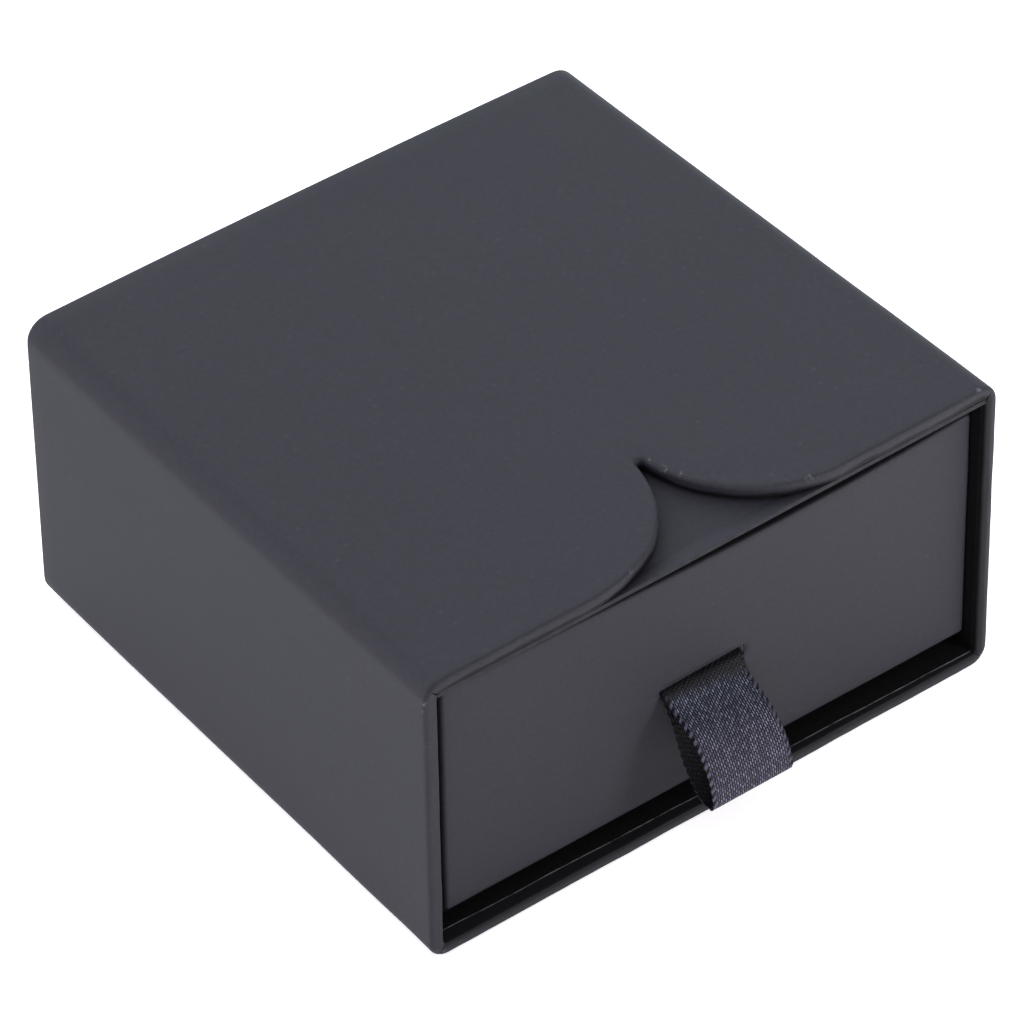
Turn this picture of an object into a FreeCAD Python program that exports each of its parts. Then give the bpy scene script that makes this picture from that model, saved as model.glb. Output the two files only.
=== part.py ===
import FreeCAD, Part
import math
import os

os.makedirs("parts", exist_ok=True)
V = FreeCAD.Vector

# A small drawer box of wrapped board. All lengths are in millimetres.
# The origin is the middle of the sleeve's underside. The drawer faces -Y and +Z is up.

# Sheet materials, and the radius of the paper over a board's edge
board = 1.5
paper = 0.2
lining = 0.2
card = 0.45
nose_radius = 0.6

# Outer sleeve
width = 89.0
depth = 85.6
height = 46.2
fold_radius = 2.6
turn_in = 24.0
back_turn_in = 12.0
back_cover = 0.2
cover_margin = 1.5
corner_slit = 0.25
corner_slit_depth = 3.0
corner_slit_length = 1.9
base_seam = 0.2

# Scalloped front edge of the top panel: two round lobes that meet in a cusp
lobe_radius = 19.8
lobe_overhang = 0.05
cusp_half_gap = 0.37
cusp_radius = 0.6
notch_offset = 0.4

# Inside the sleeve
flap_board = 2.0
flap_setback = 4.6
lining_setback_left = 2.2
lining_setback_right = 0.65

# Drawer tray. It lies a little nearer the right side of the sleeve.
face_recess = 2.2
side_clearance = 0.95
drawer_offset = 0.55
top_clearance = 2.9
glide_clearance = 0.2
back_clearance = 0.4
rim_turn_in = 10.0
base_turn_in = 12.0
rim_margin = 1.5

# Pull slot, at a share of the drawer's height and left of its middle, and ribbon
slot_offset = -1.45
slot_width = 13.4
slot_height = 1.3
slot_share = 0.4735
ribbon_width = 12.7
ribbon_thickness = 0.25
ribbon_tail = 9.0
tail_margin = 2.4
strand_gap = 0.4
ribbon_bend = 0.4
slot_overhang = 0.3
loop_reach = 10.5
loop_drop = 12.2
loop_tip_radius = 0.5

# Points of the loop, as shares of its reach in front of the drawer and of its drop below the slot
upper_strand_shares = [(0.27, 0.28), (0.69, 0.46)]
lower_strand_shares = [(0.72, 0.985), (0.11, 0.29)]
upper_radius_shares = [0.4, 0.4]
lower_radius_shares = [0.2, 0.4]

# Overrun of the cutting solids past the faces that they cut, and the error allowed in a match
overrun = 1.0
match_error = 0.002

# Derived planes of the sleeve
skin_board = paper + board
wall = paper + board + paper
front = -depth / 2
back = depth / 2
wrap_back = back - back_cover
board_back = wrap_back - paper
cavity_back = board_back - board
ply_under = height - wall - card
floor_top = wall + lining
flap_top = wall + flap_board
glide_top = flap_top + lining

# Derived planes of the drawer
tray_half = width / 2 - wall - lining - side_clearance
tray_front = front + face_recess
tray_back = cavity_back - lining - back_clearance
tray_cover_under = glide_top + glide_clearance
tray_under = tray_cover_under + paper
tray_top = ply_under - top_clearance
slot_z = tray_under + (tray_top - tray_under) * slot_share


def box(x0, x1, y0, y1, z0, z1):
    return Part.makeBox(x1 - x0, y1 - y0, z1 - z0, V(x0, y0, z0))


def prism(points, direction):
    return Part.Face(Part.makePolygon(points + points[:1])).extrude(direction)


def edges_where(shape, test):
    found = []
    for edge in shape.Edges:
        span = edge.LastParameter - edge.FirstParameter
        places = [edge.valueAt(edge.FirstParameter + span * share) for share in (0.0, 0.25, 0.5, 0.75, 1.0)]
        if all(test(place) for place in places):
            found.append(edge)
    return found


def near(a, b):
    return abs(a - b) < match_error


# The sleeve's cross-section, drawn in from its outside by inset, run from y0 to y1
def sleeve_block(inset, y0, y1):
    block = box(-width / 2 + inset, width / 2 - inset, y0, y1, inset, height - inset)
    half = width / 2 - inset
    long_edges = edges_where(block, lambda p: near(abs(p.x), half) and (near(p.z, inset) or near(p.z, height - inset)))
    return block.makeFillet(fold_radius - inset, long_edges)


# The gap between the two lobes of the top panel, for a skin drawn in by inset
def notch_cutter(inset):
    radius = lobe_radius - inset
    end_radius = cusp_radius + inset
    lobe_x = lobe_radius + cusp_half_gap
    lobe_y = front + lobe_radius - lobe_overhang
    mouth = front + inset
    reach = math.sqrt(radius**2 - (lobe_y - mouth) ** 2)
    mouth_x = lobe_x - reach
    end_y = lobe_y - math.sqrt((radius + end_radius) ** 2 - lobe_x**2)
    share = end_radius / (radius + end_radius)
    join_x = lobe_x * share
    join_y = end_y + (lobe_y - end_y) * share
    low = height - wall - overrun
    turn = (math.atan2(mouth - lobe_y, reach) - math.atan2(join_y - lobe_y, lobe_x - join_x)) / 2
    middle_angle = math.atan2(join_y - lobe_y, lobe_x - join_x) + turn
    middle_x = lobe_x - radius * math.cos(middle_angle)
    middle_y = lobe_y + radius * math.sin(middle_angle)
    left_lobe = Part.Arc(V(-mouth_x, mouth, low), V(-middle_x, middle_y, low), V(-join_x, join_y, low))
    end = Part.Arc(V(-join_x, join_y, low), V(0, end_y + end_radius, low), V(join_x, join_y, low))
    right_lobe = Part.Arc(V(join_x, join_y, low), V(middle_x, middle_y, low), V(mouth_x, mouth, low))
    outside = mouth - overrun
    corners = [V(mouth_x, mouth, low), V(mouth_x, outside, low), V(-mouth_x, outside, low), V(-mouth_x, mouth, low)]
    edges = [left_lobe.toShape(), end.toShape(), right_lobe.toShape()]
    edges += [Part.makeLine(a, b) for a, b in zip(corners, corners[1:])]
    notch = Part.Face(Part.Wire(edges)).extrude(V(0, 0, wall + 2 * overrun))
    notch.translate(V(notch_offset, 0, 0))
    return notch


# The paper is rounded over every edge, and the board beneath it is crushed to a chamfer
def soften(shape, edges, inset):
    size = nose_radius - inset
    return shape.makeChamfer(size, edges) if inset else shape.makeFillet(size, edges)


# A tube with a closed back and a notched top, its mouth and notch edges softened. The outside is
# drawn in by inset and the inside lies at cavity_inset from the outside of the sleeve.
def notched_tube(inset, cavity_inset):
    mouth = front + inset
    rear = wrap_back - inset
    tube = sleeve_block(inset, mouth, rear)
    hollow_half = width / 2 - cavity_inset
    tube = tube.cut(
        box(-hollow_half, hollow_half, front - overrun, cavity_back, cavity_inset, height - cavity_inset)
    )
    tube = tube.cut(notch_cutter(inset))

    def at_mouth(p):
        return near(p.y, mouth)

    def at_rear(p):
        return near(p.y, rear)

    def at_notch(p):
        level = near(p.z, height - inset) or near(p.z, height - cavity_inset)
        return level and abs(p.x - notch_offset) < lobe_radius and p.y < front + lobe_radius + cusp_radius

    chosen = edges_where(tube, at_mouth) + edges_where(tube, at_rear)
    for edge in edges_where(tube, at_notch):
        if not any(edge.isSame(other) for other in chosen):
            chosen.append(edge)
    return soften(tube, chosen, inset)


# Thin slits at the upper corners of the mouth, where the turned-in papers are cut to fold apart
def corner_slits():
    slits = []
    half_slit = corner_slit / 2
    for side in (-1, 1):
        slit = box(-overrun, corner_slit_length, front - overrun, front + corner_slit_depth, -half_slit, half_slit)
        slit.rotate(V(0, 0, 0), V(0, 1, 0), -math.degrees(math.atan2(1, side)))
        slit.translate(V(side * (width / 2 - wall), 0, height - wall))
        slits.append(slit)
    return slits


def cut_all(shape, tools):
    for tool in tools:
        shape = shape.cut(tool)
    return shape


# One side of the tube, bounded by the mitres at its two folds
def mitre_wedge(side):
    k = wall + fold_radius
    outer = {
        "bottom": [(-width / 2, 0), (width / 2, 0), (width / 2 - k, k), (-width / 2 + k, k)],
        "top": [(-width / 2, height), (width / 2, height), (width / 2 - k, height - k), (-width / 2 + k, height - k)],
        "left": [(-width / 2, 0), (-width / 2, height), (-width / 2 + k, height - k), (-width / 2 + k, k)],
        "right": [(width / 2, 0), (width / 2, height), (width / 2 - k, height - k), (width / 2 - k, k)],
    }[side]
    return prism([V(x, front - overrun, z) for x, z in outer], V(0, depth + 2 * overrun, 0))


# The five boards of the sleeve: four mitred walls and the back board that closes them
def sleeve_boards(tube, slits):
    inner_half = width / 2 - skin_board
    back_block = box(
        -inner_half, inner_half, cavity_back, board_back + overrun, skin_board, height - skin_board
    )
    boards = {"sleeve_back_board": tube.common(back_block)}
    walls = tube.cut(back_block)
    for side in ("top", "bottom", "left", "right"):
        boards[f"sleeve_{side}_board"] = cut_all(walls.common(mitre_wedge(side)), slits)
    return boards


# The paper skin of the sleeve, turned in at the mouth, over the scallops and over the back board
def sleeve_skin(board_tube):
    skin = notched_tube(0, wall).cut(board_tube)
    inner_half = width / 2 - skin_board
    skin = skin.cut(
        box(-inner_half, inner_half, front + turn_in, cavity_back, skin_board, height - skin_board)
    )
    window_half = width / 2 - back_turn_in
    return skin.cut(
        box(-window_half, window_half, board_back, back + overrun, back_turn_in, height - back_turn_in)
    )


# The skin as two sheets: one round the top, sides and back, and one under the base, with a seam
def sleeve_papers(skin, slits):
    base_half = width / 2 - fold_radius
    base_zone = box(-base_half, base_half, front - overrun, board_back, -overrun, wall + paper / 2)
    seam_half = base_half - base_seam
    base_sheet_zone = box(-seam_half, seam_half, front - overrun, board_back, -overrun, wall + paper / 2)
    return cut_all(skin, slits + [base_zone]), skin.common(base_sheet_zone)


# The card under the scallops. It is flush with the mouth and closes the notch from below.
def top_ply():
    half = width / 2 - wall
    ply_top = height - wall
    front_zone = box(-half, half, front, front + turn_in, ply_under, ply_top)
    rear_zone = box(-half, half, front + turn_in, cavity_back, ply_under, ply_top + paper)
    return front_zone.fuse(rear_zone).removeSplitter()


# The inner layer of the bottom, cut back from the mouth. The drawer slides on it.
def floor_flap(skin):
    half = width / 2 - skin_board
    return box(-half, half, front + flap_setback, cavity_back, skin_board, flap_top).cut(skin)


# The black lining of the floor and side walls, with its front edge cut a little askew
def sleeve_lining(skin, flap):
    half = width / 2 - skin_board
    clear_half = width / 2 - wall - lining
    sheet = box(-half, half, front, cavity_back, skin_board, ply_under)
    step = front + flap_setback - lining
    sheet = sheet.cut(box(-clear_half, clear_half, front - overrun, step, floor_top, height))
    sheet = sheet.cut(box(-clear_half, clear_half, step - overrun, back, glide_top, height))
    setback = [
        V(-width / 2, front - overrun, 0),
        V(width / 2, front - overrun, 0),
        V(width / 2, front + lining_setback_right, 0),
        V(-width / 2, front + lining_setback_left, 0),
    ]
    return cut_all(sheet, [prism(setback, V(0, 0, height)), skin, flap])


def sleeve_back_lining():
    half = width / 2 - wall - lining
    return box(-half, half, cavity_back - lining, cavity_back, glide_top, ply_under)


# The sheet that covers the back and hides the turned edges of the wrap
def sleeve_back_cover(skin):
    half = width / 2 - cover_margin
    return box(-half, half, board_back, back, cover_margin, height - cover_margin).cut(skin)


# A tray with softened outer edges and rim, drawn in by inset, with walls up to cavity_inset
def open_tray(inset, cavity_inset):
    half = tray_half - inset
    y0 = tray_front + inset
    y1 = tray_back - inset
    z0 = tray_under + inset
    z1 = tray_top - inset
    tray = box(-half, half, y0, y1, z0, z1)
    hollow_half = tray_half - cavity_inset
    h0 = tray_front + cavity_inset
    h1 = tray_back - cavity_inset
    tray = tray.cut(box(-hollow_half, hollow_half, h0, h1, tray_under + cavity_inset, tray_top + overrun))

    def on_outside(p):
        on_x = near(abs(p.x), half)
        on_y = near(p.y, y0) or near(p.y, y1)
        on_z = near(p.z, z0) or near(p.z, z1)
        return (on_x and on_y) or (on_x and on_z) or (on_y and on_z)

    def on_inner_rim(p):
        return near(p.z, z1) and (near(abs(p.x), hollow_half) or near(p.y, h0) or near(p.y, h1))

    return soften(tray, edges_where(tray, on_outside) + edges_where(tray, on_inner_rim), inset)


def pull_slot():
    return box(
        slot_offset - slot_width / 2,
        slot_offset + slot_width / 2,
        tray_front - overrun,
        tray_front + wall + overrun,
        slot_z - slot_height / 2,
        slot_z + slot_height / 2,
    )


# The five boards of the drawer: the base, two long sides and the ends between them
def tray_boards(tray):
    base_top = tray_under + skin_board
    half = tray_half - skin_board
    near_end = tray_front + skin_board
    far_end = tray_back - skin_board
    far_x = width
    low = tray_under - overrun
    high = tray_top + overrun
    boards = {
        "drawer_floor_board": tray.common(box(-far_x, far_x, front - overrun, back, low, base_top)),
        "drawer_left_board": tray.common(box(-far_x, -half, front - overrun, back, base_top, high)),
        "drawer_right_board": tray.common(box(half, far_x, front - overrun, back, base_top, high)),
        "drawer_front_board": tray.common(box(-half, half, front - overrun, near_end, base_top, high)),
        "drawer_back_board": tray.common(box(-half, half, far_end, back, base_top, high)),
    }
    boards["drawer_front_board"] = boards["drawer_front_board"].cut(pull_slot())
    return boards


# The paper skin of the drawer, turned over the rim and under the base
def tray_wrap(board_tray):
    skin = open_tray(0, wall).cut(board_tray)
    half = tray_half - skin_board
    y0 = tray_front + skin_board
    y1 = tray_back - skin_board
    skin = skin.cut(box(-half, half, y0, y1, tray_under + skin_board, tray_top - rim_turn_in))
    window_half = tray_half - base_turn_in
    w0 = tray_front + base_turn_in
    w1 = tray_back - base_turn_in
    skin = skin.cut(box(-window_half, window_half, w0, w1, tray_under - overrun, tray_under + paper))
    return skin.cut(pull_slot())


# The sheet under the drawer that hides the turned edges of its wrap
def tray_base_cover(wrap):
    half = tray_half - cover_margin
    y0 = tray_front + cover_margin
    y1 = tray_back - cover_margin
    return box(-half, half, y0, y1, tray_cover_under, tray_under + paper).cut(wrap)


# The black lining of the drawer's walls, which starts a little below the rim
def tray_wall_lining(wrap, ribbon):
    half = tray_half - skin_board
    y0 = tray_front + skin_board
    y1 = tray_back - skin_board
    top = tray_top - rim_margin
    sheet = box(-half, half, y0, y1, tray_under + skin_board, top)
    clear = wall + lining
    clear_half = tray_half - clear
    sheet = sheet.cut(
        box(
            -clear_half,
            clear_half,
            tray_front + clear,
            tray_back - clear,
            tray_under - overrun,
            tray_top + overrun,
        )
    )
    return cut_all(sheet, [wrap, ribbon])


def tray_floor_lining():
    clear = wall + lining
    half = tray_half - clear
    base_top = tray_under + skin_board
    return box(-half, half, tray_front + clear, tray_back - clear, base_top, base_top + lining)


# A flat strip of even thickness, whose first side runs through the points in the plane x = 0.
# Each inner corner is rounded by its own radius, and the strip lies to the right of its run.
def bent_strip(points, radii, thickness):
    def beside(point, tangent):
        return point + V(0, tangent.z, -tangent.y) * thickness

    side = []
    other_side = []
    start = points[0]
    for before, corner, after, radius in zip(points, points[1:], points[2:], radii):
        along = (corner - before).normalize()
        onward = (after - corner).normalize()
        half_angle = (along * -1).getAngle(onward) / 2
        setback = radius / math.tan(half_angle)
        first = corner - along * setback
        last = corner + onward * setback
        middle_tangent = (along + onward).normalize()
        middle = corner + (onward - along).normalize() * (radius / math.sin(half_angle) - radius)
        side += [Part.makeLine(start, first), Part.Arc(first, middle, last).toShape()]
        far = [beside(first, along), beside(middle, middle_tangent), beside(last, onward)]
        other_side += [Part.makeLine(beside(start, along), far[0]), Part.Arc(*far).toShape()]
        start = last
    onward = (points[-1] - start).normalize()
    side.append(Part.makeLine(start, points[-1]))
    other_side.append(Part.makeLine(beside(start, onward), beside(points[-1], onward)))
    first_along = (points[1] - points[0]).normalize()
    ends = [
        Part.makeLine(points[0], beside(points[0], first_along)),
        Part.makeLine(points[-1], beside(points[-1], onward)),
    ]
    outline = Part.Wire(Part.__sortEdges__(side + other_side + ends))
    print("ribbon length", round(sum(edge.Length for edge in side), 2))
    return Part.Face(outline)


# The ribbon: two tails glued to the inside of the front board, one up and one down, and a loop
# that comes out through the slot, bulges forward and hangs to a folded tip
def ribbon_pull():
    inner_face = tray_front + skin_board + ribbon_thickness
    upper_z = slot_z + strand_gap / 2
    lower_z = slot_z - strand_gap / 2

    def place(reach_share, drop_share):
        return V(0, tray_front - loop_reach * reach_share, slot_z - loop_drop * drop_share)

    points = [V(0, inner_face, tray_top - rim_turn_in - tail_margin), V(0, inner_face, upper_z)]
    points += [V(0, tray_front - slot_overhang, upper_z)]
    points += [place(*pair) for pair in upper_strand_shares]
    points += [place(1.0, 1.0)]
    points += [place(*pair) for pair in lower_strand_shares]
    points += [V(0, tray_front - slot_overhang, lower_z), V(0, inner_face, lower_z)]
    points += [V(0, inner_face, lower_z - ribbon_tail)]
    radii = [ribbon_bend, ribbon_bend]
    radii += [loop_reach * share for share in upper_radius_shares]
    radii += [loop_tip_radius]
    radii += [loop_reach * share for share in lower_radius_shares]
    radii += [ribbon_bend, ribbon_bend]
    strip = bent_strip(points, radii, ribbon_thickness).extrude(V(ribbon_width, 0, 0))
    strip.translate(V(slot_offset - ribbon_width / 2, 0, 0))
    return strip


def build():
    board_tube = notched_tube(paper, skin_board)
    slits = corner_slits()
    nodes = sleeve_boards(board_tube, slits)
    skin = sleeve_skin(board_tube)
    nodes["sleeve_wrap"], nodes["sleeve_base_wrap"] = sleeve_papers(skin, slits)
    nodes["sleeve_top_ply"] = top_ply()
    nodes["sleeve_floor_flap"] = floor_flap(skin)
    nodes["sleeve_lining"] = sleeve_lining(skin, nodes["sleeve_floor_flap"])
    nodes["sleeve_back_lining"] = sleeve_back_lining()
    nodes["sleeve_back_cover"] = sleeve_back_cover(skin)

    board_tray = open_tray(paper, skin_board)
    drawer = tray_boards(board_tray)
    drawer["drawer_wrap"] = tray_wrap(board_tray)
    drawer["drawer_base_cover"] = tray_base_cover(drawer["drawer_wrap"])
    drawer["ribbon_pull"] = ribbon_pull()
    drawer["drawer_wall_lining"] = tray_wall_lining(drawer["drawer_wrap"], drawer["ribbon_pull"])
    drawer["drawer_floor_lining"] = tray_floor_lining()
    for shape in drawer.values():
        shape.translate(V(drawer_offset, 0, 0))
    return nodes | drawer


for name, shape in build().items():
    solids = shape.Solids
    print(name, "solids", len(solids), "valid", shape.isValid(), "volume", round(shape.Volume, 1))
    kept = solids[0] if len(solids) == 1 else Part.makeCompound(solids)
    kept.exportStep(f"parts/{name}.step")
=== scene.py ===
import math

import bmesh
import bpy
import numpy as np
from mathutils import Matrix, Vector


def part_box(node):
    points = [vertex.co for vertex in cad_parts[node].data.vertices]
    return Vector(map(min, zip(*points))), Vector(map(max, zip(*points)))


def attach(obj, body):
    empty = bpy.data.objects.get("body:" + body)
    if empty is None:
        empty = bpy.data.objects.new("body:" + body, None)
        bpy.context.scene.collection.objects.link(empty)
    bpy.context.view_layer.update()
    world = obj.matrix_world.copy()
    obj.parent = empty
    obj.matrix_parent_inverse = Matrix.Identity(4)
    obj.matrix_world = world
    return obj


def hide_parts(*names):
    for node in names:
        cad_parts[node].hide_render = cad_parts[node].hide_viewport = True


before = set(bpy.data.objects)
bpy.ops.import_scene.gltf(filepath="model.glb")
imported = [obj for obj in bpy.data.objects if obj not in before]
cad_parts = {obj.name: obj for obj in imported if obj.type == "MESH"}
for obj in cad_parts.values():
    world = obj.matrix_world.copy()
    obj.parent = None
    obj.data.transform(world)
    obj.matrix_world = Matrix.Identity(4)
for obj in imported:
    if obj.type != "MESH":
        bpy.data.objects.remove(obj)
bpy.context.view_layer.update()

MM = 0.001
TINY = 1e-9
# Every shown piece with the body that it rides on
shown = []


def node_box(node):
    """A node's lowest and highest corners at rest, in millimetres to the nearest micron."""
    return [np.round(np.array(corner) / MM, 3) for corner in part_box(node)]


# The sleeve in millimetres. FOLD is the radius of its long folds, NOSE that of the paper round the mouth's
# outer edge, INNER_NOSE that of its inner edge.
SLEEVE_LOW, SLEEVE_HIGH = node_box("sleeve_wrap")
HALF_WIDTH, HEIGHT = SLEEVE_HIGH[0], SLEEVE_HIGH[2]
FRONT, BACK = SLEEVE_LOW[1], node_box("sleeve_back_cover")[1][1]
DEPTH = BACK - FRONT
WRAP_BACK = SLEEVE_HIGH[1]
FOLD, NOSE, INNER_NOSE = 2.6, 0.6, 0.32
WALL = 1.9
PAPER = 0.19
# How far the paper is turned in at the mouth: on the sides, along the top and from the base
TURN_SIDE, TURN_TOP, TURN_BASE = 4.4, 2.2, 4.5

# The scalloped top edge: two lobes, cut flat where they would pass the mouth, and a blunt cusp between them.
# LOBE_X is half the distance between the lobes' centres.
LOBE_RADIUS, LOBE_X, LOBE_FLAT = 19.8, 20.17, 0.05
LOBE_Y = FRONT + LOBE_RADIUS - LOBE_FLAT
CUSP_RADIUS, NOTCH_X = 0.6, 0.4
# Half the width at the back of the strip of paper whose front end is the cusp
CUSP_STRIP = 0.9

# The drawer and the ribbon's slot in its face
TRAY_LOW, TRAY_HIGH = node_box("drawer_wrap")
TRAY_X, TRAY_HALF = (TRAY_LOW[0] + TRAY_HIGH[0]) / 2, (TRAY_HIGH[0] - TRAY_LOW[0]) / 2
TRAY_FRONT, TRAY_BACK = TRAY_LOW[1], TRAY_HIGH[1]
TRAY_UNDER, TRAY_TOP = TRAY_LOW[2], TRAY_HIGH[2]
RIBBON_LOW, RIBBON_HIGH = node_box("ribbon_pull")
RIBBON_WIDTH = RIBBON_HIGH[0] - RIBBON_LOW[0]
SLOT_X, SLOT_Z = (RIBBON_LOW[0] + RIBBON_HIGH[0]) / 2, 21.76
SLOT_HALF_WIDTH, SLOT_HALF_HEIGHT = 6.7, 0.65

# Small departures from true square, as the photo shows them. Those at the back grow from none at the front.
NARROWING_SHARE = 0.0187
FOLD_GROWTH = 0.74
NOTCH_SHIFT_X, NOTCH_SHIFT_Y = 0.38, -0.62
BACK_BULGE, BULGE_RISE_SHARE = 0.42, 0.625
BACK_DROP = 0.733
TILT_FRONT_SHARE, TILT_BACK_SHARE = 0.0112, 0.0099
SKEW_SHARE, LEAN_SHARE = 0.006, 0.0024
# The drawer's shift to the right, at its left edge and from a little inside that on
DRAWER_SHIFT_X, DRAWER_SHIFTS = [-41.0, -34.0], [0.38, 0.3]
RIM_SAG_X = [-41.0, -32.0, -22.0, -11.0, 3.5, 11.0, 21.0, 29.0, 37.0, 42.0]
RIM_SAG = [0.4, 0.15, -0.14, -0.45, -0.84, -0.86, -0.74, -0.45, 0.0, 0.35]
# The depth below the rim where its sag starts, and the height over which it grows to the full
RIM_SAG_DEPTH, RIM_SAG_GROWTH = 5.0, 4.4
# How much too high the slot's right end is, how far right of the middle that ends, the height over which it
# fades, and the depth below the rim where it stops
SLOT_ASKEW, SLOT_ASKEW_END, SLOT_ASKEW_FADE, SLOT_ASKEW_DEPTH = 0.5, 9.5, 3.0, 6.0
CARD_LOWERED, CARD_SAG = 0.06, 0.55
# Stretches round the notch, where the top panel moves with it and where the card sags. Each has the distances
# behind the front edge where it starts, is full, begins to fade and ends, its half width, and the width over
# which it fades on either side.
SHIFTED = ((0.0, 4.0, 21.6, 39.6), 14.0, 14.0)
SAGGING = ((0.25, 2.85, 22.0, 32.0), 19.0, 5.0)
# How far below the top the shift reaches
SHIFTED_DEPTH = 3.0
SLIT_WIDTH = 0.17
# Waves of the paper and of cut edges, as (wavelength, height). The height of the wear and highlight's is a
# share.
MOUTH_WAVES = ((11.0, 0.045), (3.5, 0.018))
SLEEVE_WAVES = ((34.0, 0.05), (9.0, 0.012))
DRAWER_WAVES = ((28.0, 0.04), (7.0, 0.01))
LINING_WAVES = ((16.0, 0.10), (3.0, 0.03))
CARD_WAVES = ((13.0, 0.02),)
WEAR_AND_HIGHLIGHT_WAVES = ((14.0, 1.0),)


# Helpers for shapes

def smooth_noise(points, wavelength, seed):
    """Seeded waviness between about -1 and 1 at points (n, 3), of the wavelength and half of it."""
    rng = np.random.default_rng(seed)
    total = np.zeros(len(points))
    for size, strength in ((wavelength, 1.0), (wavelength / 2, 0.5)):
        for _ in range(6):
            direction = rng.normal(size=3)
            direction /= np.linalg.norm(direction)
            phase = rng.uniform(0, 2 * math.pi)
            stretch = rng.uniform(0.7, 1.4)
            total += strength * np.sin(points @ direction * (2 * math.pi / (size * stretch)) + phase) / 2.4
    return total / 1.5


def waviness(points, waves, seed):
    """Sum of waves, given as (wavelength, height), at points (n, 3) or at places (n,) along a line."""
    if points.ndim == 1:
        points = np.stack([points, np.zeros(len(points)), np.zeros(len(points))], 1)
    return sum(height * smooth_noise(points, length, seed + index)
               for index, (length, height) in enumerate(waves))


def unit(vectors):
    return vectors / (np.linalg.norm(vectors, axis=-1)[..., None] + TINY)


def ramp_up(value, start, length):
    """From 0 at start to 1 at start + length, and held there."""
    return np.clip((value - start) / length, 0, 1)


def near_notch(x, behind, stretch):
    """From 0 outside a stretch round the notch to 1 inside it."""
    places, half_width, fade = stretch
    beside = ramp_up(np.abs(x - NOTCH_X), half_width, fade)
    return np.interp(behind, places, [0, 1, 1, 0]) * (1 - beside)


def add_mesh(name, verts, faces, materials, body, smooth=True, uv=None, slots=None, **marks):
    """A shown piece made of verts in millimetres, with one point attribute for each of the marks."""
    mesh = bpy.data.meshes.new(name)
    mesh.from_pydata([tuple(vert) for vert in np.asarray(verts) * MM], [],
                     [tuple(int(index) for index in face) for face in faces])
    if uv is not None:
        layer = mesh.uv_layers.new(name="UVMap")
        corners = np.array([loop.vertex_index for loop in mesh.loops])
        layer.data.foreach_set("uv", np.asarray(uv, dtype=np.float32)[corners].ravel())
    mesh.polygons.foreach_set("use_smooth", [smooth] * len(mesh.polygons))
    for material in materials:
        mesh.materials.append(material)
    if slots is not None:
        mesh.polygons.foreach_set("material_index", slots)
    for mark, values in marks.items():
        layer = mesh.attributes.new(mark, "FLOAT", "POINT")
        layer.data.foreach_set("value", np.asarray(values, dtype=np.float32))
    mesh.update()
    return show(name, mesh, body)


def show(name, mesh, body):
    obj = bpy.data.objects.new(name, mesh)
    bpy.context.scene.collection.objects.link(obj)
    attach(obj, body)
    shown.append((obj, body))
    return obj


def grid_faces(rows, cols, base=0, flip=False):
    """Quads of a grid of vertices that starts at index base."""
    first = np.arange(rows - 1)[:, None] * cols + np.arange(cols - 1)[None, :] + base
    quads = np.stack([first, first + 1, first + cols + 1, first + cols], axis=-1).reshape(-1, 4)
    return quads[:, ::-1] if flip else quads


def split_mesh(mesh, places, axis):
    """Cut the mesh's faces at places in millimetres along an axis, so that it can bend there."""
    bm = bmesh.new()
    bm.from_mesh(mesh)
    for place in places:
        everything = bm.verts[:] + bm.edges[:] + bm.faces[:]
        bmesh.ops.bisect_plane(bm, geom=everything, plane_co=Vector(axis) * place * MM, plane_no=axis)
    bm.to_mesh(mesh)
    bm.free()


def weld(obj, distance=2e-6):
    bm = bmesh.new()
    bm.from_mesh(obj.data)
    bmesh.ops.remove_doubles(bm, verts=bm.verts, dist=distance)
    bmesh.ops.dissolve_degenerate(bm, edges=bm.edges, dist=distance)
    bm.to_mesh(obj.data)
    bm.free()


def thicken(obj, thickness, offset=-1.0):
    """Give a sheet its thickness: behind its face with offset -1, to both sides alike with 0."""
    solidify = obj.modifiers.new("thickness", "SOLIDIFY")
    solidify.thickness = thickness * MM
    solidify.offset = offset
    solidify.use_even_offset = False


def read_points(mesh):
    flat = np.empty(len(mesh.vertices) * 3)
    mesh.vertices.foreach_get("co", flat)
    return flat.reshape(-1, 3) / MM


def write_points(mesh, points):
    mesh.vertices.foreach_set("co", (points * MM).ravel())
    mesh.update()


# The real box's departures from true square

def rounder_folds(x, z, share):
    """Widen the long folds from their radius at the front to the larger one at the back."""
    growth = FOLD_GROWTH * share
    radius = FOLD + growth
    low = z < HEIGHT / 2
    across = np.abs(x) - (HALF_WIDTH - radius)
    up = np.where(low, radius - z, z - (HEIGHT - radius))
    inside = (across > 0) & (up > 0) & (share > 0)
    reach = np.hypot(across, up) + TINY
    to_side, to_face = across / reach, up / reach
    # How far the outline with the smaller fold lies from the larger fold's centre in this direction
    along = growth * (to_side + to_face)
    outline = along + np.sqrt(np.maximum(along ** 2 - 2 * growth ** 2 + FOLD ** 2, 0))
    outline = np.where(to_side * outline < growth, radius / np.maximum(to_face, 1e-6), outline)
    outline = np.where(to_face * outline < growth, radius / np.maximum(to_side, 1e-6), outline)
    scale = 1 - (1 - radius / outline) * np.clip(reach / outline, 0, 1) ** 2
    round_x = np.sign(x) * (HALF_WIDTH - radius + across * scale)
    round_z = np.where(low, radius - up * scale, HEIGHT - radius + up * scale)
    return np.where(inside, round_x, x), np.where(inside, round_z, z)


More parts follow.
